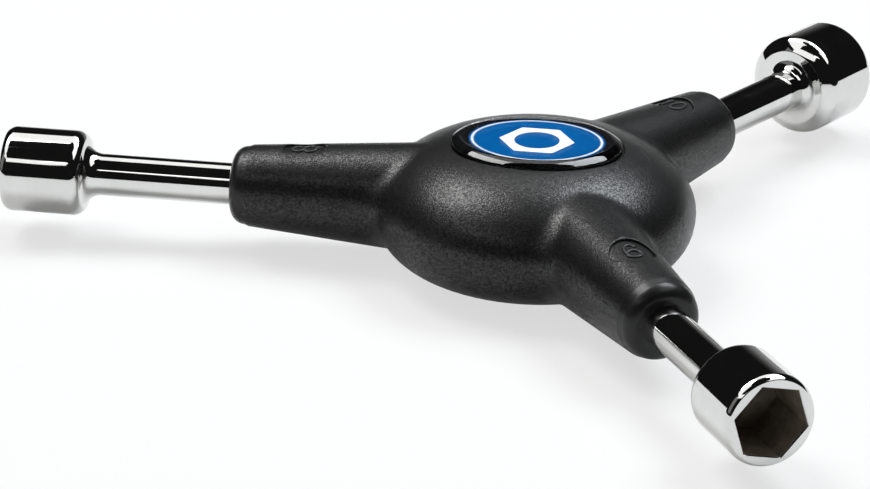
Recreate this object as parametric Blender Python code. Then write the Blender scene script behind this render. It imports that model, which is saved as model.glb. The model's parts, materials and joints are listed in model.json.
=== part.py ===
"""Three-way socket wrench: a moulded handle with three forged sockets and a domed label.

The handle is one nylon moulding, a flat round hub with three tapered arms 120 degrees apart.
Each socket is one forging with its shank, and the shank's flattened tail is buried in an arm.
The tool lies on the flat under its hub: that flat is z = 0 and its centre is the origin.
"""

import math

import bmesh
import bpy
from mathutils import Matrix, Vector

# Driving dimensions in metres and radians. Reaches run from the hub's axis out along an arm.
HUB_DIAMETER = 0.0454
CROWN_HEIGHT = 0.0096
BELLY_DEPTH = 0.0092
CROWN_FLAT_DIAMETER = 0.016
REST_FLAT_DIAMETER = 0.016
CROWN_FULLNESS = 1.9
BELLY_FULLNESS = 2.35

ARM_REACH = 0.0436
ARM_END_DIAMETER = 0.0112
ARM_TAPER = math.radians(4.8)
ARM_ROOT_SINK = 0.009
ARM_FILLET = 0.0045
ARM_END_ROUND = 0.0020
MOULD_LINE_SETBACK = 0.0026
MOULD_LINE_STEP = 0.00012

NUMBER_POCKET_DIAMETER = 0.0062
NUMBER_POCKET_SETBACK = 0.0106
NUMBER_POCKET_DEPTH = 0.0004

SHANK_DIAMETER = 0.006
SHANK_BURIED = 0.0296
TAIL_LENGTH = 0.009
TAIL_FLARE = 0.004
TAIL_WIDTH = 0.0085
TAIL_THICKNESS = 0.0042
TAIL_SQUARENESS = 4.0

SOCKET_STANDOFF = 0.0326
BARREL_LENGTH = 0.0098
SHOULDER_RADIUS = 0.0016
NECK_FILLET = 0.00235
FACE_ROUND = 0.0010
HEX_DEPTH = 0.0094
HEX_CLEARANCE = 0.0001
HEX_CLOCKING = math.radians(47.0)

SMALL_HEX = 0.008
SMALL_CORNER_WALL = 0.00142
MIDDLE_HEX = 0.009
MIDDLE_CORNER_WALL = 0.00100
LARGE_HEX = 0.010
LARGE_CORNER_WALL = 0.00177
FIRST_ARM_ANGLE = math.radians(180.0)

LABEL_LENGTH = 0.024
LABEL_WIDTH = 0.020
LABEL_RECESS_DEPTH = 0.0008
LABEL_FILM_THICKNESS = 0.0003
LABEL_DOME_EDGE = 0.0004
LABEL_DOME_RISE = 0.0006
LABEL_DOME_ROLL = 0.0032
GLUE_GAP = 0.0001
SEAT_GAP = 0.0003

# Mesh resolution
ARM_SEGMENTS = 40
SHANK_SEGMENTS = 32
POCKET_SEGMENTS = 24
POCKET_RINGS = 3
LABEL_SEGMENTS = 48
ARC_STEPS = 4
HUB_STATIONS = 7
FILLET_STATIONS = 11
BISECTIONS = 40
WELD_DISTANCE = 0.000001
SHARP_EDGE = math.radians(35.0)

# Sizes that follow from the driving dimensions
ARM_COUNT = 3
HEX_SIDES = 6
ROUND = 2.0
SECTOR = 2 * math.pi / ARM_COUNT
HALF_SECTOR = SECTOR / 2
HUB_RADIUS = HUB_DIAMETER / 2
ARM_ROOT = HUB_RADIUS - ARM_ROOT_SINK
ARM_END_RADIUS = ARM_END_DIAMETER / 2
FILLET_END = HUB_RADIUS + ARM_FILLET
SHANK_RADIUS = SHANK_DIAMETER / 2
TAIL_START = ARM_REACH - SHANK_BURIED
SOCKET_REACH = ARM_REACH + SOCKET_STANDOFF
LABEL_FLOOR = CROWN_HEIGHT - LABEL_RECESS_DEPTH
# How far a cutter passes the surface that it opens.
CUT_MARGIN = 0.002


def clear_scene():
    """Remove every object that the file opened with."""
    for item in list(bpy.data.objects):
        bpy.data.objects.remove(item, do_unlink=True)


def make_material(name, colour, roughness, metallic=0.0, transmission=0.0):
    """Give a piece its own Principled finish."""
    finish = bpy.data.materials.new(name)
    finish.use_nodes = True
    shader = finish.node_tree.nodes["Principled BSDF"]
    shader.inputs["Base Color"].default_value = (*colour, 1.0)
    shader.inputs["Roughness"].default_value = roughness
    shader.inputs["Metallic"].default_value = metallic
    shader.inputs["Transmission Weight"].default_value = transmission
    return finish


def add_object(name, bm, finish=None):
    """Turn a bmesh into a named object, with its faces pointing out and its rounds shaded smooth."""
    bmesh.ops.recalc_face_normals(bm, faces=bm.faces[:])
    mesh = bpy.data.meshes.new(name)
    bm.to_mesh(mesh)
    bm.free()
    mesh.shade_smooth()
    mesh.set_sharp_from_angle(angle=SHARP_EDGE)
    if finish:
        mesh.materials.append(finish)
    item = bpy.data.objects.new(name, mesh)
    bpy.context.scene.collection.objects.link(item)
    return item


def cut(target, cutter):
    """Take a cutter's shape out of a piece, and keep the cutter as a hidden guide."""
    cutter.hide_render = True
    cutter.display_type = "WIRE"
    step = target.modifiers.new(cutter.name, "BOOLEAN")
    step.operation = "DIFFERENCE"
    step.solver = "EXACT"
    step.object = cutter


def place_on_arm(item, angle):
    """Turn a piece that was drawn along +X into an arm's direction, at the arms' height."""
    item.location = (0.0, 0.0, BELLY_DEPTH)
    item.rotation_euler = (0.0, 0.0, angle)


def bridge(bm, lower, upper):
    """Join two closed loops of vertices with a band of quads."""
    count = len(lower)
    for i in range(count):
        j = (i + 1) % count
        bm.faces.new((lower[i], lower[j], upper[j], upper[i]))


def loft(bm, loops):
    """Skin a row of closed loops and cap both ends."""
    rows = [[bm.verts.new(point) for point in loop] for loop in loops]
    for lower, upper in zip(rows, rows[1:]):
        bridge(bm, lower, upper)
    bm.faces.new(rows[0])
    bm.faces.new(rows[-1])


def signed_power(value, power):
    """Raise a value to a power and keep its sign."""
    return math.copysign(abs(value) ** power, value)


# Handle surface: the hub and one arm as distances, blended by a rolled fillet


def hub_distance(point):
    """Distance from the hub and its outward normal: a flat that rolls off as a superellipse."""
    over = point.z > 0.0
    flat = (CROWN_FLAT_DIAMETER if over else REST_FLAT_DIAMETER) / 2
    height = CROWN_HEIGHT if over else BELLY_DEPTH
    power = CROWN_FULLNESS if over else BELLY_FULLNESS
    width = HUB_RADIUS - flat
    rho = math.hypot(point.x, point.y)
    u = max(rho - flat, 0.0) / width
    v = abs(point.z) / height
    gauge = (u**power + v**power) ** (1.0 / power)
    if gauge == 0.0:
        return -height, Vector((0.0, 0.0, 1.0))
    scale = gauge ** (1.0 - power)
    rise = math.copysign(scale * v ** (power - 1.0) / height, point.z)
    outward = scale * u ** (power - 1.0) / width
    slope = math.hypot(outward, rise)
    spoke = outward / rho if rho else 0.0
    return (gauge - 1.0) / slope, Vector((spoke * point.x, spoke * point.y, rise)) / slope


def cone_radius(x):
    """Radius of an arm's taper at a reach from the hub's axis."""
    return ARM_END_RADIUS + (ARM_REACH - x) * math.tan(ARM_TAPER)


def arm_distance(point):
    """Distance from an arm's cone and its outward normal."""
    radius = math.hypot(point.y, point.z)
    spoke = math.cos(ARM_TAPER) / radius if radius else 0.0
    distance = (radius - cone_radius(point.x)) * math.cos(ARM_TAPER)
    return distance, Vector((math.sin(ARM_TAPER), spoke * point.y, spoke * point.z))


def handle_distance(point):
    """Distance from the hub and arm together, with the fillet that a ball rolled between them leaves."""
    hub, hub_normal = hub_distance(point)
    if point.x < ARM_ROOT:
        return hub
    arm, arm_normal = arm_distance(point)
    lean = hub_normal.dot(arm_normal)
    hub_side = hub - ARM_FILLET
    arm_side = arm - ARM_FILLET
    if hub_side >= lean * arm_side or arm_side >= lean * hub_side:
        return min(hub, arm)
    square = hub_side**2 + arm_side**2 - 2 * lean * hub_side * arm_side
    return ARM_FILLET - math.sqrt(square / (1.0 - lean**2))


def surface_point(centre, direction):
    """Where a ray from the arm's axis leaves the handle, found by halving."""
    near = 0.0
    far = HUB_DIAMETER
    for _ in range(BISECTIONS):
        middle = (near + far) / 2
        if handle_distance(centre + direction * middle) < 0.0:
            near = middle
        else:
            far = middle
    return centre + direction * far


def handle_loop(x):
    """One loop round an arm. It opens from the planes between the arms to a plane across the arm."""
    ease = min(x / HUB_RADIUS, 1.0)
    spread = HALF_SECTOR + (math.pi / 2 - HALF_SECTOR) * ease
    centre = Vector((x, 0.0, 0.0))
    loop = []
    for i in range(ARM_SEGMENTS):
        turn = 2 * math.pi * i / ARM_SEGMENTS
        across = math.sin(turn)
        forward = math.cos(spread) * abs(across)
        direction = Vector((forward, math.sin(spread) * across, math.cos(turn)))
        loop.append(surface_point(centre, direction))
    return loop


def circle(x, radius, count):
    """A loop of points round the arm's axis."""
    turns = [2 * math.pi * i / count for i in range(count)]
    return [Vector((x, radius * math.sin(turn), radius * math.cos(turn))) for turn in turns]


def arm_end_profile():
    """Reach and radius from the taper's last full station round to the arm's end face."""
    line = ARM_REACH - MOULD_LINE_SETBACK
    corner = ARM_REACH - ARM_END_ROUND
    end_radius = ARM_END_RADIUS - MOULD_LINE_STEP
    profile = [(line, cone_radius(line))]
    profile.append((line + MOULD_LINE_STEP, cone_radius(line) - MOULD_LINE_STEP))
    for i in range(ARC_STEPS + 1):
        turn = math.pi / 2 * i / ARC_STEPS
        inset = ARM_END_ROUND * (1.0 - math.cos(turn))
        profile.append((corner + ARM_END_ROUND * math.sin(turn), end_radius - inset))
    return profile


def add_handle():
    """Skin the three arms' sectors, weld them along the planes between the arms and cut the seats."""
    stations = [ARM_ROOT * i / HUB_STATIONS for i in range(HUB_STATIONS)]
    fillet_step = (FILLET_END - ARM_ROOT) / FILLET_STATIONS
    stations += [ARM_ROOT + fillet_step * i for i in range(FILLET_STATIONS + 1)]
    loops = [handle_loop(x) for x in stations]
    loops += [circle(x, radius, ARM_SEGMENTS) for x, radius in arm_end_profile()]
    bm = bmesh.new()
    for arm in range(ARM_COUNT):
        turn = Matrix.Rotation(FIRST_ARM_ANGLE + arm * SECTOR, 3, "Z")
        rows = [[bm.verts.new(turn @ point) for point in loop] for loop in loops]
        for inner, outer in zip(rows, rows[1:]):
            bridge(bm, inner, outer)
        bm.faces.new(rows[-1])
    bmesh.ops.remove_doubles(bm, verts=bm.verts[:], dist=WELD_DISTANCE)
    finish = make_material("black_nylon", colour=(0.018, 0.018, 0.019), roughness=0.55)
    handle = add_object("handle", bm, finish)
    handle.location.z = BELLY_DEPTH
    return handle


# Number pockets: a round recess of even depth on top of each arm


def add_number_pocket(name, angle):
    """Cutter for one pocket. Its floor follows the arm's round back."""
    centre = ARM_REACH - NUMBER_POCKET_SETBACK
    roof = cone_radius(centre) + CUT_MARGIN
    bm = bmesh.new()

    def spot(share, turn):
        reach = share * NUMBER_POCKET_DIAMETER / 2
        x = centre + reach * math.cos(turn)
        y = reach * math.sin(turn)
        return Vector((x, y, math.sqrt(cone_radius(x) ** 2 - y**2) - NUMBER_POCKET_DEPTH))

    turns = [2 * math.pi * i / POCKET_SEGMENTS for i in range(POCKET_SEGMENTS)]
    shares = [(k + 1) / POCKET_RINGS for k in range(POCKET_RINGS)]
    floor = [[bm.verts.new(spot(share, turn)) for turn in turns] for share in shares]
    for inner, outer in zip(floor, floor[1:]):
        bridge(bm, inner, outer)
    middle = bm.verts.new(spot(0.0, 0.0))
    for i in range(POCKET_SEGMENTS):
        bm.faces.new((floor[0][i - 1], floor[0][i], middle))
    top = [bm.verts.new((vert.co.x, vert.co.y, roof)) for vert in floor[-1]]
    bridge(bm, floor[-1], top)
    bm.faces.new(top)
    cutter = add_object(name, bm)
    place_on_arm(cutter, angle)
    return cutter


# Sockets: forged in one piece with their shanks


def section(x, width, thickness, squareness, gap):
    """A loop across the shank: a circle or oval where squareness is ROUND, squarer above that."""
    half_width = width / 2 + gap
    half_thickness = thickness / 2 + gap
    loop = []
    for i in range(SHANK_SEGMENTS):
        turn = 2 * math.pi * i / SHANK_SEGMENTS
        y = half_width * signed_power(math.sin(turn), ROUND / squareness)
        z = half_thickness * signed_power(math.cos(turn), ROUND / squareness)
        loop.append(Vector((x, y, z)))
    return loop


def buried_shank(gap):
    """Loops of the flattened tail and its flare into the round shank, grown by a gap."""
    loops = []
    flare_start = TAIL_START + TAIL_LENGTH
    loops.append(section(TAIL_START - gap, TAIL_WIDTH, TAIL_THICKNESS, TAIL_SQUARENESS, gap))
    for i in range(ARC_STEPS + 1):
        share = i / ARC_STEPS
        ease = (1.0 - math.cos(math.pi * share)) / 2
        width = TAIL_WIDTH + (SHANK_DIAMETER - TAIL_WIDTH) * ease
        thickness = TAIL_THICKNESS + (SHANK_DIAMETER - TAIL_THICKNESS) * ease
        squareness = TAIL_SQUARENESS + (ROUND - TAIL_SQUARENESS) * ease
        loops.append(section(flare_start + TAIL_FLARE * share, width, thickness, squareness, gap))
    return loops


def neck_profile(barrel_radius):
    """Reach and radius from the shank, through a hollow fillet and a round shoulder, to the barrel."""
    rise = barrel_radius - SHANK_RADIUS
    rounds = SHOULDER_RADIUS + NECK_FILLET
    sweep = math.acos(max(1.0 - rise / rounds, 0.0))
    barrel_start = SOCKET_REACH - BARREL_LENGTH
    shank_end = barrel_start - rounds * math.sin(sweep)
    profile = []
    for i in range(ARC_STEPS + 1):
        turn = sweep * i / ARC_STEPS
        x = shank_end + NECK_FILLET * math.sin(turn)
        profile.append((x, SHANK_RADIUS + NECK_FILLET * (1.0 - math.cos(turn))))
    for i in range(ARC_STEPS + 1):
        turn = sweep * (1.0 - i / ARC_STEPS)
        x = barrel_start - SHOULDER_RADIUS * math.sin(turn)
        profile.append((x, barrel_radius - SHOULDER_RADIUS * (1.0 - math.cos(turn))))
    kept = profile[:1]
    for step in profile[1:]:
        if math.dist(step, kept[-1]) > WELD_DISTANCE:
            kept.append(step)
    return kept


def face_profile(barrel_radius):
    """Reach and radius round the rim at the socket's mouth."""
    corner = SOCKET_REACH - FACE_ROUND
    profile = []
    for i in range(ARC_STEPS + 1):
        turn = math.pi / 2 * i / ARC_STEPS
        inset = FACE_ROUND * (1.0 - math.cos(turn))
        profile.append((corner + FACE_ROUND * math.sin(turn), barrel_radius - inset))
    return profile


def add_socket(name, hex_size, corner_wall, angle):
    """One socket with its shank, lofted along its arm, with the hexagon broached in its mouth."""
    hex_radius = (hex_size + HEX_CLEARANCE) / 2 / math.cos(math.pi / HEX_SIDES)
    barrel_radius = hex_radius + corner_wall
    loops = buried_shank(gap=0.0)
    for x, radius in neck_profile(barrel_radius) + face_profile(barrel_radius):
        loops.append(section(x, 2 * radius, 2 * radius, ROUND, gap=0.0))
    bm = bmesh.new()
    loft(bm, loops)
    finish = make_material(f"{name}_chrome", colour=(0.86, 0.87, 0.88), roughness=0.06, metallic=1.0)
    socket = add_object(name, bm, finish)
    place_on_arm(socket, angle)

    bm = bmesh.new()
    corners = [HEX_CLOCKING + 2 * math.pi * i / HEX_SIDES for i in range(HEX_SIDES)]
    ring = [(hex_radius * math.cos(turn), hex_radius * math.sin(turn)) for turn in corners]
    floor = SOCKET_REACH - HEX_DEPTH
    loft(bm, [[(x, y, z) for y, z in ring] for x in (floor, SOCKET_REACH + CUT_MARGIN)])
    broach = add_object(f"{name}_broach", bm)
    place_on_arm(broach, angle)
    cut(socket, broach)


def add_shank_seat(name, angle):
    """Cutter for the space that one shank fills in the handle, open at the arm's end."""
    loops = buried_shank(SEAT_GAP)
    loops.append(section(ARM_REACH + CUT_MARGIN, SHANK_DIAMETER, SHANK_DIAMETER, ROUND, SEAT_GAP))
    bm = bmesh.new()
    loft(bm, loops)
    cutter = add_object(name, bm)
    place_on_arm(cutter, angle)
    return cutter


# Label: an oval printed film under a clear resin dome, in a recess on the crown


def oval(grow, z):
    """A loop of the label's outline, grown by a gap or drawn in where that is negative."""
    half_length = LABEL_LENGTH / 2 + grow
    half_width = LABEL_WIDTH / 2 + grow
    turns = [2 * math.pi * i / LABEL_SEGMENTS for i in range(LABEL_SEGMENTS)]
    return [Vector((half_length * math.cos(turn), half_width * math.sin(turn), z)) for turn in turns]


def add_label():
    """The film and the dome. Returns the cutter for their recess."""
    film_base = LABEL_FLOOR + GLUE_GAP
    film_top = film_base + LABEL_FILM_THICKNESS
    bm = bmesh.new()
    loft(bm, [oval(0.0, film_base), oval(0.0, film_top)])
    print_finish = make_material("blue_print", colour=(0.005, 0.12, 0.42), roughness=0.35)
    film = add_object("label_film", bm, print_finish)

    dome_base = film_top + GLUE_GAP
    dome_edge = dome_base + LABEL_DOME_EDGE
    loops = [oval(0.0, dome_base)]
    for i in range(ARC_STEPS + 1):
        left = 1.0 - i / ARC_STEPS
        loops.append(oval(LABEL_DOME_ROLL * (left - 1.0), dome_edge + LABEL_DOME_RISE * (1.0 - left**2)))
    bm = bmesh.new()
    loft(bm, loops)
    clear = make_material("clear_resin", colour=(0.92, 0.95, 1.0), roughness=0.04, transmission=1.0)
    dome = add_object("label_dome", bm, clear)

    bm = bmesh.new()
    loft(bm, [oval(SEAT_GAP, LABEL_FLOOR), oval(SEAT_GAP, CROWN_HEIGHT + CUT_MARGIN)])
    recess = add_object("label_recess", bm)
    for item in (film, dome, recess):
        item.location.z = BELLY_DEPTH
    return recess


clear_scene()
handle = add_handle()
cut(handle, add_label())
sockets = (
    ("small_socket", SMALL_HEX, SMALL_CORNER_WALL),
    ("middle_socket", MIDDLE_HEX, MIDDLE_CORNER_WALL),
    ("large_socket", LARGE_HEX, LARGE_CORNER_WALL),
)
for arm, (name, hex_size, corner_wall) in enumerate(sockets):
    angle = FIRST_ARM_ANGLE + arm * SECTOR
    add_socket(name, hex_size, corner_wall, angle)
    cut(handle, add_shank_seat(f"{name}_seat", angle))
    cut(handle, add_number_pocket(f"{name}_pocket", angle))
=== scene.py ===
import json
import math

import bmesh
import bpy
import numpy as np
from mathutils import Matrix, Vector


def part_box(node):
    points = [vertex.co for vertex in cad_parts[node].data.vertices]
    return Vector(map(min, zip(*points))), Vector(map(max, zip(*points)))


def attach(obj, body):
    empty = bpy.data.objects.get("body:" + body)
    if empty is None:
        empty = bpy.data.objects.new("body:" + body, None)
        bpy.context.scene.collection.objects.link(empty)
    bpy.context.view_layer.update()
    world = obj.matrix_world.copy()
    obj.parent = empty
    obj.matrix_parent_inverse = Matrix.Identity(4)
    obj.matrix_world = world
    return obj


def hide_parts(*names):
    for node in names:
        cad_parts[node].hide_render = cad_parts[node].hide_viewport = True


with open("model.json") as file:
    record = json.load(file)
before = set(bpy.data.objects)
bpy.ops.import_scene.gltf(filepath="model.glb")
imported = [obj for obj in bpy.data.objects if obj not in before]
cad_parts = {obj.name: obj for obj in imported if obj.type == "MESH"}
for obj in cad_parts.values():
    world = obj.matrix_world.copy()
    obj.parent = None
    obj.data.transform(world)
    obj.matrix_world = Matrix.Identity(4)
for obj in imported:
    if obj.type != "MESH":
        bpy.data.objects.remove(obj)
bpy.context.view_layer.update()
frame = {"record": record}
mounts = {mount["name"]: mount for mount in frame["record"]["mounts"]}

# Sockets and their shanks
# Each is one steel forging: a tail flattened to key into the nylon, a round shank and a barrel with a
# hexagon pressed into its mouth. It is polished and chromed bright, and only the hexagon stays bare.

HEX_SIZES = {"small_socket": 0.008, "middle_socket": 0.009, "large_socket": 0.010}
HEX_CLEARANCE = 0.0001
HEX_SIDES = 6
HEX_CLOCKING = math.radians(47.0)
HEX_BROKEN_EDGE = 0.00010
ARM_REACH = 0.0436
SHANK_RADIUS = 0.003
SHANK_BURIED = 0.0296
TAIL_LENGTH = 0.009
TAIL_FLARE = 0.004
TAIL_WIDTH = 0.0085
TAIL_THICKNESS = 0.0042
TAIL_SQUARENESS = 4.0
ROUND = 2.0
FACE_SETBACKS = {"small_socket": 0.0, "middle_socket": 0.0004, "large_socket": 0.00018}
BARREL_LENGTHS = {"small_socket": 0.0098, "middle_socket": 0.0098, "large_socket": 0.0093}
SHOULDER_ARCS = {
    "small_socket": ((0.0019, 60.0),),
    "middle_socket": ((0.0019, 60.0),),
    "large_socket": ((0.0016, 50.0), (0.0107, 58.0)),
}
CREASE_RADII = {"small_socket": 0.0005, "middle_socket": 0.0005, "large_socket": 0.0003}
NECK_FILLETS = {"small_socket": 0.00235, "middle_socket": 0.00235, "large_socket": 0.0016}
RIM_ARCS = ((0.0004, 8.0), (0.0020, 36.0), (0.00025, 90.0))
FACE_LEDGE = 0.0001
PLATE_DEPTH = 0.0011
ROUND_STEPS = 120
ARC_STEPS = 12
SHARP_EDGE = math.radians(32.0)
WELD_DISTANCE = 1e-7
HAZE_SCALE = 220.0
RIPPLE_SCALE = 420.0
RIPPLE_HEIGHT = 0.000003
STAIN_SCALE = 420.0
STAIN_HEIGHT = 0.00005
SCUFF_SCALE = 1500.0
CHROME_DARK = (0.675, 0.675, 0.66, 1.0)
CHROME_LIGHT = (0.72, 0.72, 0.705, 1.0)
STEEL_DARK = (0.20, 0.165, 0.125, 1.0)
STEEL_LIGHT = (0.36, 0.30, 0.24, 1.0)
PLATE_WORN = (0.55, 0.56, 0.58, 1.0)


def spread_turns(start):
    """Angles round a piece, from a start and once round."""
    return start + 2 * math.pi * np.arange(ROUND_STEPS) / ROUND_STEPS


def ring(x, radius, turns):
    """A loop across an arm. The reach and the radius are one length, or one for each point."""
    return np.column_stack((x + 0.0 * turns, radius * np.cos(turns), radius * np.sin(turns)))


def squared_ring(x, width, thickness, squareness, turns):
    """A loop across a shank: an oval where squareness is ROUND, squarer above that."""
    across = np.sign(np.cos(turns)) * np.abs(np.cos(turns)) ** (ROUND / squareness)
    up = np.sign(np.sin(turns)) * np.abs(np.sin(turns)) ** (ROUND / squareness)
    return np.column_stack((np.full(len(turns), x), width / 2 * across, thickness / 2 * up))


def buried_tail(grow, turns):
    """Loops from the flattened tail's end to where the shank is round, grown all over by a gap."""
    start = ARM_REACH - SHANK_BURIED
    width = TAIL_WIDTH + 2 * grow
    thickness = TAIL_THICKNESS + 2 * grow
    loops = [squared_ring(start - grow, width, thickness, TAIL_SQUARENESS, turns)]
    for share in np.linspace(0.0, 1.0, ARC_STEPS):
        ease = (1.0 - math.cos(math.pi * share)) / 2
        width = TAIL_WIDTH + (2 * SHANK_RADIUS - TAIL_WIDTH) * ease + 2 * grow
        thickness = TAIL_THICKNESS + (2 * SHANK_RADIUS - TAIL_THICKNESS) * ease + 2 * grow
        squareness = TAIL_SQUARENESS + (ROUND - TAIL_SQUARENESS) * ease
        x = start + TAIL_LENGTH + TAIL_FLARE * share
        loops.append(squared_ring(x, width, thickness, squareness, turns))
    return loops


def rolled_edge(arcs):
    """How far along and in an edge runs that is rolled over arcs, each with its radius and last slope."""
    path = [(0.0, 0.0)]
    slope = 0.0
    for radius, last in arcs:
        along, inwards = path[-1]
        for turn in np.linspace(slope, math.radians(last), ARC_STEPS)[1:]:
            run = along + radius * (math.sin(turn) - math.sin(slope))
            path.append((run, inwards + radius * (math.cos(slope) - math.cos(turn))))
        slope = math.radians(last)
    return path


def barrel_profile(name, face, barrel_radius):
    """Reach and radius from the shank, up a hollow neck and over a round shoulder, to the mouth's rim."""
    fillet = NECK_FILLETS[name]
    crease = CREASE_RADII[name]
    shoulder_drop = rolled_edge(SHOULDER_ARCS[name])[-1][1]
    meet = math.radians(SHOULDER_ARCS[name][-1][1])
    spare = shoulder_drop + crease * math.cos(meet) + fillet + SHANK_RADIUS - barrel_radius
    sweep = math.acos(max(spare / (crease + fillet), 0.0))
    shoulder = rolled_edge(SHOULDER_ARCS[name] + ((crease, math.degrees(sweep)),))
    barrel_start = face - BARREL_LENGTHS[name]
    neck_face = barrel_start - shoulder[-1][0]
    profile = []
    for turn in np.linspace(0.0, sweep, ARC_STEPS):
        x = neck_face - fillet * (math.sin(sweep) - math.sin(turn))
        profile.append((x, SHANK_RADIUS + fillet * (1.0 - math.cos(turn))))
    profile += [(barrel_start - run, barrel_radius - drop) for run, drop in shoulder[::-1]]
    rim = rolled_edge(RIM_ARCS)
    profile += [(face - rim[-1][0] + run, barrel_radius - drop) for run, drop in rim]
    return profile


def hexagon_radii(apothem, turns):
    """The distance from a hexagon's middle to its side at each angle."""
    side = 2 * math.pi / HEX_SIDES
    return apothem / np.cos((turns - HEX_CLOCKING + 1e-9) % side - side / 2)


def skin(bm, loops, finish=0, cap_start=False, cap_end=False):
    """Join a row of closed loops with bands of quads, in one finish, and cap its ends on request."""
    rows = [[bm.verts.new(point) for point in loop] for loop in loops]
    faces = []
    for inner, outer in zip(rows, rows[1:]):
        for i in range(len(inner)):
            faces.append(bm.faces.new((inner[i - 1], inner[i], outer[i], outer[i - 1])))
    if cap_start:
        faces.append(bm.faces.new(rows[0]))
    if cap_end:
        faces.append(bm.faces.new(rows[-1]))
    for face in faces:
        face.material_index = finish


def new_piece(name, bm, finishes, place=Matrix.Identity(4)):
    """Turn a bmesh into a named object in the part's frame, smooth but for its sharp edges."""
    bmesh.ops.remove_doubles(bm, verts=bm.verts[:], dist=WELD_DISTANCE)
    bmesh.ops.recalc_face_normals(bm, faces=bm.faces[:])
    mesh = bpy.data.meshes.new(name)
    bm.to_mesh(mesh)
    bm.free()
    mesh.transform(place)
    mesh.shade_smooth()
    mesh.set_sharp_from_angle(angle=SHARP_EDGE)
    for finish in finishes:
        mesh.materials.append(finish)
    piece = bpy.data.objects.new(name, mesh)
    bpy.context.scene.collection.objects.link(piece)
    return piece


def arm_place(name):
    """Where the arm that holds a socket lies: +X along the arm, at the height of its axis."""
    low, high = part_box(name)
    axis = mounts[f"{name}_seat"]["axis"]
    turn = Matrix.Rotation(math.atan2(axis[1], axis[0]), 4, "Z")
    return Matrix.Translation((0.0, 0.0, (low.z + high.z) / 2)) @ turn


def new_finish(name):
    """An empty material, its node tree and its shader."""
    finish = bpy.data.materials.new(name)
    finish.use_nodes = True
    return finish, finish.node_tree, finish.node_tree.nodes["Principled BSDF"]


def node(tree, kind, inputs, **settings):
    """Add a node, set it up and feed its inputs with values or with other nodes' outputs."""
    made = tree.nodes.new(kind)
    for key, value in settings.items():
        setattr(made, key, value)
    for key, value in inputs.items():
        if isinstance(value, bpy.types.NodeSocket):
            tree.links.new(value, made.inputs[key])
        else:
            made.inputs[key].default_value = value
    return made.outputs


def object_place(tree):
    """Where a point lies on the piece, in metres."""
    return node(tree, "ShaderNodeTexCoord", {})["Object"]


def reach_from_axis(tree, place):
    """How far a point lies from the hub's axis, in metres."""
    inputs = {0: place, 1: (1.0, 1.0, 0.0)}
    level = node(tree, "ShaderNodeVectorMath", inputs, operation="MULTIPLY")["Vector"]
    return node(tree, "ShaderNodeVectorMath", {0: level}, operation="LENGTH")["Value"]


def noise(tree, place, scale, detail=2.0, roughness=0.5):
    """Cloudy noise from about 0 to 1, with a scale in waves per metre."""
    inputs = {"Vector": place, "Scale": scale, "Detail": detail, "Roughness": roughness}
    return node(tree, "ShaderNodeTexNoise", inputs)["Fac"]


def remap(tree, value, from_low, from_high, to_low, to_high):
    """Carry one range of a value over to another and clamp it there."""
    inputs = {"Value": value, "From Min": from_low, "From Max": from_high}
    inputs.update({"To Min": to_low, "To Max": to_high})
    return node(tree, "ShaderNodeMapRange", inputs)["Result"]


def blend_colours(tree, factor, low, high, start=0.0, end=1.0):
    """One colour where the factor is at its start, another at its end."""
    ramp = tree.nodes.new("ShaderNodeValToRGB")
    ramp.color_ramp.elements[0].position = start
    ramp.color_ramp.elements[0].color = low
    ramp.color_ramp.elements[1].position = end
    ramp.color_ramp.elements[1].color = high
    tree.links.new(factor, ramp.inputs["Fac"])
    return ramp.outputs["Color"]


def overprint(tree, under, mask, ink):
    """Lay one colour over the one below it where a mask says so."""
    mix = tree.nodes.new("ShaderNodeMix")
    mix.data_type = "RGBA"
    tree.links.new(mask, mix.inputs[0])
    tree.links.new(under, mix.inputs[6])
    mix.inputs[7].default_value = ink
    return mix.outputs[2]


def chrome_plate():
    """Bright plating: a mirror with a faint ripple from polishing and a light haze from handling."""
    finish, tree, shader = new_finish("chrome_plate")
    place = object_place(tree)
    haze = noise(tree, place, HAZE_SCALE, detail=5.0, roughness=0.6)
    ripple = noise(tree, place, RIPPLE_SCALE, detail=0.0)
    plating = blend_colours(tree, haze, CHROME_DARK, CHROME_LIGHT, 0.35, 0.65)
    shader.inputs["Metallic"].default_value = 1.0
    tree.links.new(plating, shader.inputs["Base Color"])
    tree.links.new(remap(tree, haze, 0.3, 0.7, 0.025, 0.06), shader.inputs["Roughness"])
    bump = node(tree, "ShaderNodeBump", {"Height": ripple, "Strength": 1.0, "Distance": RIPPLE_HEIGHT})
    tree.links.new(bump["Normal"], shader.inputs["Normal"])
    return finish


def bare_steel(mouth_reach):
    """The hexagon's inside: steel brown with oil and oxide, and scuffed plate just inside the mouth."""
    finish, tree, shader = new_finish("bare_steel")
    place = object_place(tree)
    reach = reach_from_axis(tree, place)
    stain = noise(tree, place, STAIN_SCALE, detail=5.0, roughness=0.65)
    scuff = noise(tree, place, SCUFF_SCALE, detail=4.0, roughness=0.7)
    near = remap(tree, reach, mouth_reach - PLATE_DEPTH, mouth_reach, -0.3, 0.45)
    near = node(tree, "ShaderNodeMath", {0: near, 1: scuff}, operation="ADD")["Value"]
    plated = remap(tree, near, 0.4, 0.7, 0.0, 1.0)
    brown = blend_colours(tree, stain, STEEL_DARK, STEEL_LIGHT, 0.35, 0.7)
    tree.links.new(overprint(tree, brown, plated, PLATE_WORN), shader.inputs["Base Color"])
    tree.links.new(remap(tree, plated, 0.0, 1.0, 0.25, 1.0), shader.inputs["Metallic"])
    tree.links.new(remap(tree, plated, 0.0, 1.0, 0.52, 0.22), shader.inputs["Roughness"])
    bump = node(tree, "ShaderNodeBump", {"Height": stain, "Strength": 0.5, "Distance": STAIN_HEIGHT})
    tree.links.new(bump["Normal"], shader.inputs["Normal"])
    return finish


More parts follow.
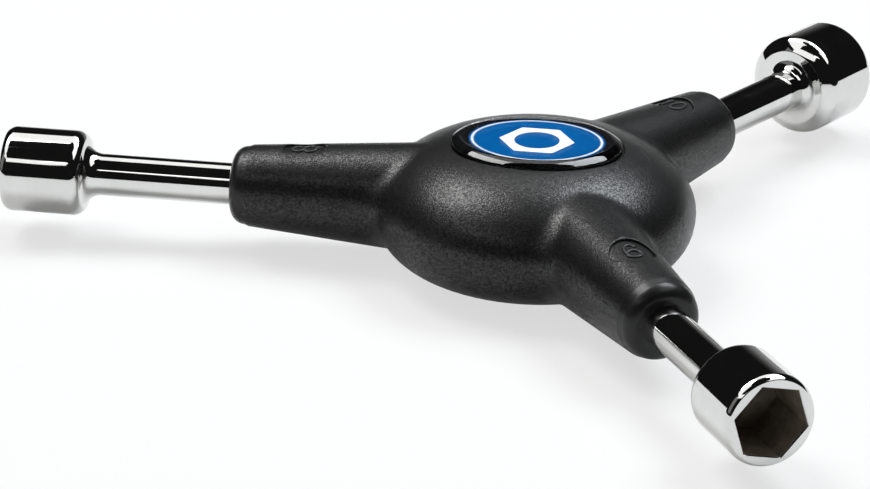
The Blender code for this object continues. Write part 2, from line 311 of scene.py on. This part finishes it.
reach = -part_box("small_socket")[0].x
socket_finishes = (chrome_plate(), bare_steel(reach))
for name, hex_size in HEX_SIZES.items():
    low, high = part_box(name)
    barrel_radius = (high.z - low.z) / 2
    hex_floor = Vector(mounts[f"{name}_seat"]["pos_m"]).xy.length
    apothem = (hex_size + HEX_CLEARANCE) / 2
    turns = spread_turns(HEX_CLOCKING)
    walls = hexagon_radii(apothem, turns)
    mouth = np.minimum(walls + HEX_BROKEN_EDGE, barrel_radius - rolled_edge(RIM_ARCS)[-1][1] - FACE_LEDGE)
    face = reach - FACE_SETBACKS[name]
    wall_start = face - (mouth - walls)

    forging = bmesh.new()
    outside = buried_tail(0.0, turns)
    outside += [ring(x, radius, turns) for x, radius in barrel_profile(name, face, barrel_radius)]
    outside += [ring(face, mouth, turns), ring(wall_start, walls, turns)]
    skin(forging, outside, finish=0, cap_start=True)
    inside = [ring(wall_start, walls, turns), ring(hex_floor, walls, turns)]
    skin(forging, inside, finish=1, cap_end=True)
    socket = new_piece(f"{name}_forging", forging, socket_finishes, arm_place(name))
    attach(socket, "root")
    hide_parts(name)

# Handle
# One nylon moulding over the three shanks: a flat round hub that runs out into three tapered arms.
# The mould's spark-eroded face leaves a fine matt grain, and smooth inserts shape the ends of the arms.

HUB_RADIUS = 0.0227
CROWN_HEIGHT = 0.0096
BELLY_DEPTH = 0.0092
CROWN_FLAT_RADIUS = 0.008
REST_FLAT_RADIUS = 0.008
CROWN_FULLNESS = 1.9
BELLY_FULLNESS = 2.35
ARM_COUNT = 3
ARM_END_RADIUS = 0.0056
ARM_TAPER = math.radians(4.8)
ARM_ROOT_SINK = 0.009
ARM_ROOT = HUB_RADIUS - ARM_ROOT_SINK
ARM_FILLET = 0.0045
ARM_END_ROUND = 0.0020
ARM_ENDS = {"small_socket": 0.04325, "middle_socket": 0.0442, "large_socket": 0.0431}
MOULD_LINE_SETBACK = 0.0026
MOULD_LINE_STEP = 0.00003
MOULD_LINE_ROUND = 0.00003
GRAIN_END = 0.0417
GRAIN_FADE = 0.0003
GRAIN_SCALE = 4200.0
GRAIN_HEIGHT = 0.00005
SPARK_SCALE = 4800.0
CLOUD_SCALE = 260.0
SHANK_LIP_RISE = 0.00005
SHANK_LIP_WIDTH = 0.00012
SHANK_GRIP = 0.00001
HUB_STATIONS = 26
FILLET_STATIONS = 44
TAPER_STATIONS = 28
BISECTIONS = 36
TINY = 1e-12
POCKET_RADIUS = 0.0031
POCKET_SETBACK = 0.0106
POCKET_CENTRE = ARM_REACH - POCKET_SETBACK
POCKET_DEPTH = 0.0004
LABEL_LENGTH = 0.024
LABEL_WIDTH = 0.020
RECESS_DEPTH = 0.0008
LABEL_FLOOR = CROWN_HEIGHT - RECESS_DEPTH
LABEL_GAP = 0.0003
MOULD_EDGE_ROUND = 0.00022
MOULD_EDGE_SWEEP = math.radians(68.0)
CUT_MARGIN = 0.0002
CUT_ROOF = 0.002
NYLON_DARK = (0.0004, 0.0004, 0.0005, 1.0)
NYLON_LIGHT = (0.0120, 0.0118, 0.0118, 1.0)


def hub_distance(points):
    """Distance from the hub and its outward normal: a flat that rolls off as a superellipse."""
    x, y, z = points.T
    over = z > 0.0
    flat = np.where(over, CROWN_FLAT_RADIUS, REST_FLAT_RADIUS)
    height = np.where(over, CROWN_HEIGHT, BELLY_DEPTH)
    power = np.where(over, CROWN_FULLNESS, BELLY_FULLNESS)
    width = HUB_RADIUS - flat
    rho = np.maximum(np.hypot(x, y), TINY)
    u = np.maximum(rho - flat, 0.0) / width
    v = np.abs(z) / height
    gauge = np.maximum((u**power + v**power) ** (1.0 / power), TINY)
    scale = gauge ** (1.0 - power)
    outward = scale * u ** (power - 1.0) / width
    rise = np.copysign(scale * v ** (power - 1.0) / height, z)
    slope = np.maximum(np.hypot(outward, rise), TINY)
    normal = np.column_stack((outward * x / rho, outward * y / rho, rise)) / slope[:, None]
    return (gauge - 1.0) / slope, normal


def taper_radius(x):
    """Radius of an arm's taper at a reach from the hub's axis."""
    return ARM_END_RADIUS + (ARM_REACH - x) * math.tan(ARM_TAPER)


def arm_distance(points):
    """Distance from an arm's cone and its outward normal."""
    x, y, z = points.T
    radius = np.maximum(np.hypot(y, z), TINY)
    spoke = math.cos(ARM_TAPER) / radius
    normal = np.column_stack((np.full(len(points), math.sin(ARM_TAPER)), spoke * y, spoke * z))
    return (radius - taper_radius(x)) * math.cos(ARM_TAPER), normal


def handle_distance(points):
    """Distance from the hub and arm together, with the fillet that a ball rolled between them leaves."""
    hub, hub_normal = hub_distance(points)
    arm, arm_normal = arm_distance(points)
    lean = (hub_normal * arm_normal).sum(axis=1)
    hub_side = hub - ARM_FILLET
    arm_side = arm - ARM_FILLET
    square = hub_side**2 + arm_side**2 - 2 * lean * hub_side * arm_side
    rolled = ARM_FILLET - np.sqrt(np.maximum(square, 0.0) / np.maximum(1.0 - lean**2, TINY))
    filleted = (hub_side < lean * arm_side) & (arm_side < lean * hub_side)
    joined = np.where(filleted, rolled, np.minimum(hub, arm))
    return np.where(points[:, 0] < ARM_ROOT, hub, joined)


def handle_loop(x, turns):
    """One loop round an arm. It opens from the planes between the arms to a plane across the arm."""
    half_sector = math.pi / ARM_COUNT
    spread = half_sector + (math.pi / 2 - half_sector) * min(x / HUB_RADIUS, 1.0)
    across = np.sin(turns)
    outward = math.cos(spread) * np.abs(across)
    directions = np.column_stack((outward, math.sin(spread) * across, np.cos(turns)))
    centre = np.array((x, 0.0, 0.0))
    near = np.zeros(len(turns))
    far = np.full(len(turns), 2 * HUB_RADIUS)
    for _ in range(BISECTIONS):
        middle = (near + far) / 2
        inside = handle_distance(centre + directions * middle[:, None]) < 0.0
        near = np.where(inside, middle, near)
        far = np.where(inside, far, middle)
    return centre + directions * far[:, None]


def arm_end_profile(arm_end):
    """Reach and radius from the mould line, over the arm's round end and its lip, to the shank."""
    line = arm_end - MOULD_LINE_SETBACK
    step_top = taper_radius(line)
    end_radius = taper_radius(arm_end) - MOULD_LINE_STEP
    corner = arm_end - ARM_END_ROUND
    profile = []
    for turn in np.linspace(0.0, math.pi / 2, ARC_STEPS // 2):
        x = line - MOULD_LINE_ROUND * (1.0 - math.sin(turn))
        profile.append((x, step_top - MOULD_LINE_ROUND * (1.0 - math.cos(turn))))
    profile.append((line + MOULD_LINE_ROUND, step_top - MOULD_LINE_STEP))
    for turn in np.linspace(0.0, math.pi / 2, ARC_STEPS):
        x = corner + ARM_END_ROUND * math.sin(turn)
        profile.append((x, end_radius - ARM_END_ROUND * (1.0 - math.cos(turn))))
    lip_foot = SHANK_RADIUS + SHANK_GRIP + SHANK_LIP_WIDTH
    for turn in np.linspace(0.0, math.pi / 2, ARC_STEPS // 2):
        x = arm_end + SHANK_LIP_RISE * math.sin(turn)
        profile.append((x, lip_foot - SHANK_LIP_WIDTH * (1.0 - math.cos(turn))))
    return profile


def edge_round(depth):
    """Steps out and down from a recess's wall foot, up the wall and over the round at its top edge."""
    steps = [(0.0, -depth), (0.0, -MOULD_EDGE_ROUND)]
    for turn in np.linspace(0.0, MOULD_EDGE_SWEEP, ARC_STEPS // 2)[1:]:
        out = MOULD_EDGE_ROUND * (1.0 - math.cos(turn))
        steps.append((out, -MOULD_EDGE_ROUND * (1.0 - math.sin(turn))))
    out, up = steps[-1]
    steps.append((out + CUT_MARGIN * math.tan(MOULD_EDGE_SWEEP), up + CUT_MARGIN))
    return steps


def roofed(loops):
    """A cutter's loops with one more, straight over the last and level, clear of what they cut."""
    roof = loops[-1].copy()
    roof[:, 2] = max(loop[:, 2].max() for loop in loops) + CUT_ROOF
    return loops + [roof]


def arm_top(x, y, lift=0.0):
    """Points on an arm's round back, lifted by a little."""
    return np.column_stack((x, y, np.sqrt(taper_radius(x) ** 2 - y**2) + lift))


def pocket_cutter():
    """The shape that leaves a round recess of even depth on an arm's back, with its edge rounded."""
    turns = spread_turns(0.0)
    loops = []
    for share in np.linspace(0.1, 1.0, ARC_STEPS)[:-1]:
        radius = share * POCKET_RADIUS
        loops.append(arm_top(POCKET_CENTRE + radius * np.cos(turns), radius * np.sin(turns), -POCKET_DEPTH))
    for out, lift in edge_round(POCKET_DEPTH):
        radius = POCKET_RADIUS + out
        loops.append(arm_top(POCKET_CENTRE + radius * np.cos(turns), radius * np.sin(turns), lift))
    return roofed(loops)


def crown_height(x, y):
    """How high the hub's crown stands over the arms' axes."""
    u = np.maximum(np.hypot(x, y) - CROWN_FLAT_RADIUS, 0.0) / (HUB_RADIUS - CROWN_FLAT_RADIUS)
    return CROWN_HEIGHT * (1.0 - u**CROWN_FULLNESS) ** (1.0 / CROWN_FULLNESS)


def oval(grow, turns):
    """The label's outline, grown by a gap."""
    return (LABEL_LENGTH / 2 + grow) * np.cos(turns), (LABEL_WIDTH / 2 + grow) * np.sin(turns)


def recess_cutter():
    """The shape that leaves the label's flat recess in the crown, with its edge rounded."""
    turns = spread_turns(0.0)
    x, y = oval(LABEL_GAP, turns)
    loops = [np.column_stack((x, y, np.full(len(turns), LABEL_FLOOR)))]
    for out, lift in edge_round(CROWN_HEIGHT - LABEL_FLOOR)[1:]:
        x, y = oval(LABEL_GAP + out, turns)
        loops.append(np.column_stack((x, y, crown_height(x, y) + lift)))
    return roofed(loops)


def moulded_nylon():
    """Black nylon: a glinting grain from the spark-eroded mould, smooth beyond the mould line."""
    finish, tree, shader = new_finish("moulded_nylon")
    place = object_place(tree)
    reach = reach_from_axis(tree, place)
    grained = remap(tree, reach, GRAIN_END - GRAIN_FADE, GRAIN_END, 1.0, 0.0)
    grain = noise(tree, place, GRAIN_SCALE, detail=1.0)
    cloud = noise(tree, place, CLOUD_SCALE, detail=4.0, roughness=0.6)
    tree.links.new(remap(tree, cloud, 0.3, 0.7, 0.46, 0.50), shader.inputs["Roughness"])
    strength = remap(tree, grained, 0.0, 1.0, 0.08, 0.7)
    bump = node(tree, "ShaderNodeBump", {"Height": grain, "Strength": strength, "Distance": GRAIN_HEIGHT})
    cells = node(tree, "ShaderNodeTexVoronoi", {"Vector": place, "Scale": SPARK_SCALE})["Color"]
    spark = node(tree, "ShaderNodeSeparateColor", {"Color": cells})["Red"]
    spark = node(tree, "ShaderNodeMath", {0: spark, 1: 0.5}, operation="SUBTRACT")["Value"]
    spark = node(tree, "ShaderNodeMath", {0: spark, 1: grained}, operation="MULTIPLY")["Value"]
    paler = remap(tree, spark, -0.5, 0.5, 0.0, 1.0)
    tree.links.new(blend_colours(tree, paler, NYLON_DARK, NYLON_LIGHT), shader.inputs["Base Color"])
    tree.links.new(remap(tree, spark, -0.5, 0.5, 0.08, 0.86), shader.inputs["Coat Weight"])
    shader.inputs["Coat Roughness"].default_value = 0.24
    shader.inputs["Specular IOR Level"].default_value = 0.19
    tree.links.new(bump["Normal"], shader.inputs["Coat Normal"])
    tree.links.new(bump["Normal"], shader.inputs["Normal"])
    return finish


nylon = moulded_nylon()
round_turns = spread_turns(0.0)
stations = list(np.linspace(0.0, ARM_ROOT, HUB_STATIONS, endpoint=False))
stations += list(np.linspace(ARM_ROOT, HUB_RADIUS + ARM_FILLET, FILLET_STATIONS, endpoint=False))
hub_loops = [handle_loop(x, round_turns) for x in stations]

moulding = bmesh.new()
for name, arm_end in ARM_ENDS.items():
    end_profile = arm_end_profile(arm_end)
    taper = np.linspace(HUB_RADIUS + ARM_FILLET, end_profile[0][0], TAPER_STATIONS, endpoint=False)
    arm_loops = list(hub_loops)
    for x, radius in [(x, taper_radius(x)) for x in taper] + end_profile:
        arm_loops.append(ring(x, radius, math.pi / 2 - round_turns))
    arm_loops += buried_tail(SHANK_GRIP, math.pi / 2 - round_turns)[::-1]
    sector = bmesh.new()
    skin(sector, arm_loops, cap_end=True)
    sector.transform(arm_place(name))
    piece_mesh = bpy.data.meshes.new("sector")
    sector.to_mesh(piece_mesh)
    sector.free()
    moulding.from_mesh(piece_mesh)
    bpy.data.meshes.remove(piece_mesh)
handle = new_piece("moulded_handle", moulding, [nylon])

hub_place = Matrix.Translation((0.0, 0.0, BELLY_DEPTH))
cutters = [("recess", recess_cutter(), hub_place)]
cutters += [(f"{name}_pocket", pocket_cutter(), arm_place(name)) for name in HEX_SIZES]
for cutter_name, loops, place in cutters:
    shape = bmesh.new()
    skin(shape, loops, cap_start=True, cap_end=True)
    cutter = new_piece(cutter_name, shape, [nylon], place)
    cut = handle.modifiers.new(cutter_name, "BOOLEAN")
    cut.operation = "DIFFERENCE"
    cut.solver = "EXACT"
    cut.object = cutter
bpy.context.view_layer.update()
cut_mesh = bpy.data.meshes.new_from_object(handle.evaluated_get(bpy.context.evaluated_depsgraph_get()))
handle.modifiers.clear()
handle.data = cut_mesh
cut_mesh.shade_smooth()
cut_mesh.set_sharp_from_angle(angle=SHARP_EDGE)
for cutter_name, _, _ in cutters:
    bpy.data.objects.remove(bpy.data.objects[cutter_name])
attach(handle, "root")
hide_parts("handle")

# Size numbers
# Thin raised strokes in the pockets on the arms, one size in millimetres for each socket, cut into the
# mould and so moulded with the handle in the same nylon. Their colour is painted paler than the
# handle's, a painted sheen that stands in for the highlights on the raised strokes.

DIGIT_HEIGHT = 0.0034
DIGIT_WIDTH = 0.0020
DIGIT_SQUEEZE = 0.4
DIGIT_PITCH = 1.3
STROKE_RADIUS = 0.00025
STROKE_SIDES = 12
STROKE_STEPS = 40
# The digits' base colour, paler than the handle's: a painted sheen for the highlights on the strokes.
PAINTED_SHEEN_NYLON = (0.026, 0.026, 0.027, 1.0)


def arc(centre, radii, start, end):
    """A stretch of an oval, drawn across and up a digit, from one angle in degrees to another."""
    turns = np.radians(np.linspace(start, end, STROKE_STEPS))
    return np.column_stack((centre[0] + radii[0] * np.cos(turns), centre[1] + radii[1] * np.sin(turns)))


def line(start, end):
    """A straight stretch of a digit."""
    return np.linspace(start, end, STROKE_STEPS)


def digit_strokes(digit, width, height):
    """The strokes of one digit, about its own middle."""
    if digit == "0":
        return [arc((0.0, 0.0), (width / 2, height / 2), 0.0, 360.0)]
    if digit == "1":
        stem = line((0.0, -height / 2), (0.0, height / 2))
        return [stem, line((0.0, height / 2), (-width / 3, height / 4))]
    if digit == "8":
        upper = arc((0.0, height * 0.26), (width * 0.42, height * 0.24), 0.0, 360.0)
        return [upper, arc((0.0, -height * 0.24), (width / 2, height * 0.26), 0.0, 360.0)]
    loop = arc((0.0, height * 0.22), (width / 2, height * 0.28), 0.0, 360.0)
    return [loop, arc((0.0, 0.0), (width / 2, height / 2), 20.0, -145.0)]


def raise_stroke(bm, path):
    """Sweep a round bead along a path on a pocket's floor, half sunk into it."""
    x = POCKET_CENTRE + path[:, 1]
    y = -path[:, 0]
    floor = arm_top(x, y, -POCKET_DEPTH)
    forward = np.gradient(floor, axis=0)
    forward /= np.linalg.norm(forward, axis=1)[:, None]
    out = floor * (0.0, 1.0, 1.0)
    out /= np.linalg.norm(out, axis=1)[:, None]
    side = np.cross(forward, out)
    turns = 2 * math.pi * np.arange(STROKE_SIDES) / STROKE_SIDES
    loops = []
    for i in range(len(path)):
        bead = np.outer(np.cos(turns), side[i]) + np.outer(np.sin(turns), out[i])
        loops.append(floor[i] + STROKE_RADIUS * bead)
    skin(bm, loops, cap_start=True, cap_end=True)


NUMBERS = {"small_socket": "8", "middle_socket": "9", "large_socket": "10"}
# The digits' finish carries that paler colour, a painted sheen for the highlights on their strokes.
sheen_painted_nylon, _, sheen_painted_shader = new_finish("sheen_painted_nylon")
sheen_painted_shader.inputs["Base Color"].default_value = PAINTED_SHEEN_NYLON
sheen_painted_shader.inputs["Roughness"].default_value = 0.42
for name, digits in NUMBERS.items():
    figure = bmesh.new()
    narrow = DIGIT_WIDTH / len(digits) ** DIGIT_SQUEEZE
    for place, digit in enumerate(digits):
        shift = (place - (len(digits) - 1) / 2) * narrow * DIGIT_PITCH
        for path in digit_strokes(digit, narrow, DIGIT_HEIGHT):
            raise_stroke(figure, path + (shift, 0.0))
    number = new_piece(f"{name}_number", figure, [sheen_painted_nylon], arm_place(name))
    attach(number, "root")

# Label film
# A plain printed vinyl oval, glued flat in the recess on the crown. A black border and a silver line
# run round a blue field, with a white nut in the middle.

GLUE_GAP = 0.0001
FILM_THICKNESS = 0.0003
FILM_BASE = LABEL_FLOOR + GLUE_GAP
FILM_TOP = FILM_BASE + FILM_THICKNESS
PRINT_BLUE = (0.0, 0.085, 0.27, 1.0)
PRINT_BLUE_DEEP = (0.0, 0.072, 0.235, 1.0)
PRINT_BLACK = (0.006, 0.006, 0.007, 1.0)
PRINT_SILVER = (0.62, 0.64, 0.66, 1.0)
PRINT_WHITE = (0.82, 0.83, 0.84, 1.0)
BORDER_START = 0.80
LINE_START = 0.745
LINE_END = 0.775
LINE_EDGE = 0.004
NUT_HALF_WIDTH = 0.0046
NUT_BORE = 0.0032
NUT_EDGE = 0.00004
PRINT_DOTS = 9000.0


def between(tree, value, low, high, edge):
    """A mask that is 1 where a value lies in a range, with a soft edge of some width."""
    rise = remap(tree, value, low - edge, low + edge, 0.0, 1.0)
    fall = remap(tree, value, high - edge, high + edge, 1.0, 0.0)
    return node(tree, "ShaderNodeMath", {0: rise, 1: fall}, operation="MULTIPLY")["Value"]


def printed_film():
    """The label's print, laid out about the middle of the oval."""
    finish, tree, shader = new_finish("printed_film")
    place = object_place(tree)
    unit = (2.0 / LABEL_LENGTH, 2.0 / LABEL_WIDTH, 0.0)
    share_place = node(tree, "ShaderNodeVectorMath", {0: place, 1: unit}, operation="MULTIPLY")["Vector"]
    share = node(tree, "ShaderNodeVectorMath", {0: share_place}, operation="LENGTH")["Value"]
    bore = reach_from_axis(tree, place)
    across = None
    for turn in (math.radians(30.0), math.radians(90.0), math.radians(150.0)):
        side = (math.cos(turn), math.sin(turn), 0.0)
        offset = node(tree, "ShaderNodeVectorMath", {0: place, 1: side}, operation="DOT_PRODUCT")["Value"]
        offset = node(tree, "ShaderNodeMath", {0: offset}, operation="ABSOLUTE")["Value"]
        if across is None:
            across = offset
        else:
            across = node(tree, "ShaderNodeMath", {0: across, 1: offset}, operation="MAXIMUM")["Value"]
    dots = noise(tree, place, PRINT_DOTS, detail=1.0)
    ink = blend_colours(tree, dots, PRINT_BLUE_DEEP, PRINT_BLUE, 0.3, 0.7)
    ink = overprint(tree, ink, between(tree, share, BORDER_START, 2.0, LINE_EDGE), PRINT_BLACK)
    ink = overprint(tree, ink, between(tree, share, LINE_START, LINE_END, LINE_EDGE), PRINT_SILVER)
    nut = between(tree, across, -1.0, NUT_HALF_WIDTH, NUT_EDGE)
    rim = between(tree, bore, NUT_BORE, 1.0, NUT_EDGE)
    nut_rim = node(tree, "ShaderNodeMath", {0: nut, 1: rim}, operation="MULTIPLY")["Value"]
    ink = overprint(tree, ink, nut_rim, PRINT_WHITE)
    tree.links.new(ink, shader.inputs["Base Color"])
    tree.links.new(remap(tree, dots, 0.2, 0.8, 0.3, 0.42), shader.inputs["Roughness"])
    shader.inputs["Specular IOR Level"].default_value = 0.0
    return finish


film_turns = spread_turns(0.0)
sheet = bmesh.new()
film_loops = []
for height in (FILM_BASE, FILM_TOP):
    x, y = oval(0.0, film_turns)
    film_loops.append(np.column_stack((x, y, np.full(len(film_turns), height))))
skin(sheet, film_loops, cap_start=True, cap_end=True)
film = new_piece("printed_label", sheet, [printed_film()], hub_place)
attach(film, "root")
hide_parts("label_film")

# Label dome
# Clear resin poured on the film, held at its edge by its own skin so that it sets as a low lens with a
# fat round rim. It is hard, glossy and bonded to the film all over.

DOME_BASE = FILM_TOP + 0.00002
DOME_EDGE = FILM_TOP + 0.0005
DOME_TOP = FILM_TOP + 0.00109
DOME_BAND = 0.0008
DOME_RIM_SLOPE = math.radians(33.0)
DOME_BAND_SLOPE = math.radians(22.0)
DOME_RIM = 0.00012
DOME_LOOPS = 36
RESIN_TINT = (0.98, 0.99, 1.0, 1.0)
RESIN_IOR = 1.55
SWELL_SCALE = 180.0
SWELL_HEIGHT = 0.000008


def clear_resin():
    """Water-clear resin, with a very slight unevenness in its skin."""
    finish, tree, shader = new_finish("clear_resin")
    swell = noise(tree, object_place(tree), SWELL_SCALE, detail=1.0)
    shader.inputs["Base Color"].default_value = RESIN_TINT
    shader.inputs["Transmission Weight"].default_value = 1.0
    shader.inputs["IOR"].default_value = RESIN_IOR
    tree.links.new(remap(tree, swell, 0.3, 0.7, 0.01, 0.03), shader.inputs["Roughness"])
    bump = node(tree, "ShaderNodeBump", {"Height": swell, "Strength": 1.0, "Distance": SWELL_HEIGHT})
    tree.links.new(bump["Normal"], shader.inputs["Normal"])
    return finish


def dome_profile():
    """How far in from the dome's outline and how high: up its edge, over its rim, on to the flat top."""
    profile = [(0.0, DOME_BASE)]
    for turn in np.linspace(0.0, math.pi / 2 - DOME_RIM_SLOPE, DOME_LOOPS // 4):
        inset = DOME_RIM * (1.0 - math.cos(turn))
        profile.append((inset, DOME_EDGE - DOME_RIM * (1.0 - math.sin(turn))))
    inset, height = profile[-1]
    step = DOME_BAND / DOME_LOOPS
    for share in (np.arange(2 * DOME_LOOPS) + 0.5) / DOME_LOOPS:
        slope = np.interp(share, (0.0, 1.0, 2.0), (DOME_RIM_SLOPE, DOME_BAND_SLOPE, 0.0))
        inset += step
        height += step * math.tan(slope)
        profile.append((inset, min(height, DOME_TOP)))
    return profile


drop = bmesh.new()
dome_loops = []
for inset, height in dome_profile():
    x, y = oval(-inset, film_turns)
    dome_loops.append(np.column_stack((x, y, np.full(len(film_turns), height))))
skin(drop, dome_loops, cap_start=True, cap_end=True)
dome = new_piece("label_lens", drop, [clear_resin()], hub_place)
dome.visible_shadow = False
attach(dome, "root")
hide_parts("label_dome")

# Floor and tent
# A white table, lit so that it reads as a white page and still takes the tool's soft shadow. A black
# cloth tent closes the room above it, with a pale sweep low at the back, and the lamps hang inside it.

FLOOR_RADIUS = 4.0
TENT_RADIUS = 3.9
FLOOR_WHITE = (0.8, 0.8, 0.8, 1.0)
PAGE_GLOW = 0.06
PAGE_SHARE = 0.65
MIRROR_SHARE = 0.1
TENT_BLACK = 0.008
SWEEP_GLOW = 0.38
SWEEP_TOP = math.radians(34.0)
SWEEP_TOWARDS = (0.139, 0.990, 0.0)
FULL_WHITE = (1.0, 1.0, 1.0, 1.0)
NO_COLOUR = (0.0, 0.0, 0.0, 1.0)
TABLE_SEGMENTS = 96
TENT_SUBDIVISIONS = 5


def lit_table():
    """White card that also glows a little towards whoever looks at it, straight or in a reflection."""
    finish, tree, shader = new_finish("lit_table")
    path = node(tree, "ShaderNodeLightPath", {})
    straight = path["Is Camera Ray"]
    mirrored = {0: path["Is Glossy Ray"], 1: path["Is Transmission Ray"]}
    mirrored = node(tree, "ShaderNodeMath", mirrored, operation="ADD", use_clamp=True)["Value"]
    seen = {0: straight, 1: mirrored}
    seen = node(tree, "ShaderNodeMath", seen, operation="ADD", use_clamp=True)["Value"]
    glow = node(tree, "ShaderNodeMath", {0: seen, 1: PAGE_GLOW}, operation="MULTIPLY")["Value"]
    shader.inputs["Base Color"].default_value = FLOOR_WHITE
    shader.inputs["Roughness"].default_value = 0.9
    shader.inputs["Specular IOR Level"].default_value = 0.0
    shader.inputs["Emission Color"].default_value = FULL_WHITE
    tree.links.new(glow, shader.inputs["Emission Strength"])
    page_share = node(tree, "ShaderNodeMath", {0: mirrored, 1: MIRROR_SHARE}, operation="MULTIPLY")["Value"]
    page_share = {0: straight, 1: PAGE_SHARE, 2: page_share}
    page_share = node(tree, "ShaderNodeMath", page_share, operation="MULTIPLY_ADD")["Value"]
    page_white = {"Color": FULL_WHITE, "Strength": 1.0}
    page_white = node(tree, "ShaderNodeEmission", page_white)["Emission"]
    mixed = {0: page_share, 1: shader.outputs["BSDF"], 2: page_white}
    mixed = node(tree, "ShaderNodeMixShader", mixed)["Shader"]
    tree.links.new(mixed, tree.nodes["Material Output"].inputs["Surface"])
    return finish


def tent_cloth():
    """Black velvet with a pale sweep that fades up from the table at the back."""
    finish, tree, shader = new_finish("tent_cloth")
    place = object_place(tree)
    direction = node(tree, "ShaderNodeVectorMath", {0: place}, operation="NORMALIZE")["Vector"]
    parts = node(tree, "ShaderNodeSeparateXYZ", {"Vector": direction})
    low = remap(tree, parts["Z"], 0.0, math.sin(SWEEP_TOP), 1.0, 0.0)
    low = node(tree, "ShaderNodeMath", {0: low, 1: 2.0}, operation="POWER")["Value"]
    back = {0: direction, 1: SWEEP_TOWARDS}
    back = node(tree, "ShaderNodeVectorMath", back, operation="DOT_PRODUCT")["Value"]
    back = remap(tree, back, 0.90, 0.98, 0.0, SWEEP_GLOW)
    sweep = node(tree, "ShaderNodeMath", {0: low, 1: back}, operation="MULTIPLY")["Value"]
    glow = node(tree, "ShaderNodeMath", {0: sweep, 1: TENT_BLACK}, operation="ADD")["Value"]
    shader.inputs["Base Color"].default_value = NO_COLOUR
    shader.inputs["Specular IOR Level"].default_value = 0.0
    shader.inputs["Emission Color"].default_value = FULL_WHITE
    tree.links.new(glow, shader.inputs["Emission Strength"])
    return finish


table_shape = bmesh.new()
bmesh.ops.create_circle(table_shape, cap_ends=True, segments=TABLE_SEGMENTS, radius=FLOOR_RADIUS)
table = new_piece("table", table_shape, [lit_table()])
tent_shape = bmesh.new()
bmesh.ops.create_icosphere(tent_shape, subdivisions=TENT_SUBDIVISIONS, radius=TENT_RADIUS)
tent = new_piece("tent", tent_shape, [tent_cloth()])
tent.visible_camera = False
page = bpy.data.worlds.new("page")
page.use_nodes = True
page.node_tree.nodes["Background"].inputs["Color"].default_value = FULL_WHITE
bpy.context.scene.world = page

# Lamps
# One long soft light bent round behind the tool, of white cloth with a warm lamp behind its left part
# and a cooler one behind its right part. A strip and a short tube hang in front, a dim card at the left.

LAMP_AIM = Vector((0.0, 0.0, 0.010))
LAMP_DISTANCE = 2.5
CLOTH_STEP = 4.0
CLOTH_ROWS = 7
COOL_WHITE = (0.9, 0.96, 1.0, 1.0)
WARM_WHITE = (1.0, 0.99, 0.98, 1.0)


def shining_from(azimuth, elevation):
    """The place of a lamp, from the direction in which it is seen from the tool."""
    turn = math.radians(azimuth)
    rise = math.radians(elevation)
    away = Vector((math.cos(turn) * math.cos(rise), math.sin(turn) * math.cos(rise), math.sin(rise)))
    return LAMP_AIM + away * LAMP_DISTANCE


def soft_cloth(name, start, end, low, high, radiance, colour):
    """One part of the bent cloth, lit evenly from behind."""
    finish, _, shader = new_finish(name)
    shader.inputs["Base Color"].default_value = NO_COLOUR
    shader.inputs["Specular IOR Level"].default_value = 0.0
    shader.inputs["Emission Color"].default_value = colour
    shader.inputs["Emission Strength"].default_value = radiance
    cloth_shape = bmesh.new()
    rows = []
    azimuths = np.linspace(start, end, 1 + round((end - start) / CLOTH_STEP))
    for elevation in np.linspace(low, high, CLOTH_ROWS):
        rows.append([cloth_shape.verts.new(shining_from(azimuth, elevation)) for azimuth in azimuths])
    for lower, upper in zip(rows, rows[1:]):
        for a, b, c, d in zip(lower, lower[1:], upper[1:], upper):
            cloth_shape.faces.new((a, d, c, b))
    cloth = new_piece(name, cloth_shape, [finish])
    cloth.visible_camera = False


def flat_lamp(name, azimuth, elevation, width, height, radiance):
    """A rectangular lamp that faces the tool."""
    lamp = bpy.data.lights.new(name, "AREA")
    lamp.shape = "RECTANGLE"
    lamp.size = width
    lamp.size_y = height
    lamp.energy = 4.0 * radiance * width * height
    box = bpy.data.objects.new(name, lamp)
    box.location = shining_from(azimuth, elevation)
    box.rotation_mode = "QUATERNION"
    box.rotation_quaternion = (box.location - LAMP_AIM).to_track_quat("Z", "Y")
    bpy.context.scene.collection.objects.link(box)


soft_cloth("cloth_right", -32.0, 28.0, 44.0, 70.0, 1.5, FULL_WHITE)
soft_cloth("cloth_right_lamp", 28.0, 80.0, 44.0, 70.0, 8.4, COOL_WHITE)
soft_cloth("cloth_back", 80.0, 128.0, 44.0, 70.0, 1.3, FULL_WHITE)
soft_cloth("cloth_left_lamp", 128.0, 172.0, 44.0, 70.0, 8.4, WARM_WHITE)
soft_cloth("cloth_left", 172.0, 212.0, 40.0, 71.0, 1.3, FULL_WHITE)
flat_lamp("front_strip", -131.5, 42.5, 1.88, 0.40, 1.0)
flat_lamp("front_tube", -101.0, 44.0, 0.50, 0.13, 1.3)
flat_lamp("left_card", -160.0, 20.0, 1.00, 1.45, 0.15)

# Camera
# A long lens on a stand, a little above the tool and just right of its middle. It is tipped and turned so
# that the tool fills the frame as in the photograph.

CAMERA_PLACE = (0.0568, -0.4897, 0.2074)
CAMERA_TURN = (67.472, -1.013, 8.662)
CAMERA_LENS = 155.88
CAMERA_SENSOR = 36.0

camera = bpy.data.cameras.new("camera")
camera.lens = CAMERA_LENS
camera.sensor_width = CAMERA_SENSOR
camera_stand = bpy.data.objects.new("camera", camera)
camera_stand.location = CAMERA_PLACE
camera_stand.rotation_euler = [math.radians(turn) for turn in CAMERA_TURN]
bpy.context.scene.collection.objects.link(camera_stand)
bpy.context.scene.camera = camera_stand
bpy.context.scene.view_settings.view_transform = "Standard"
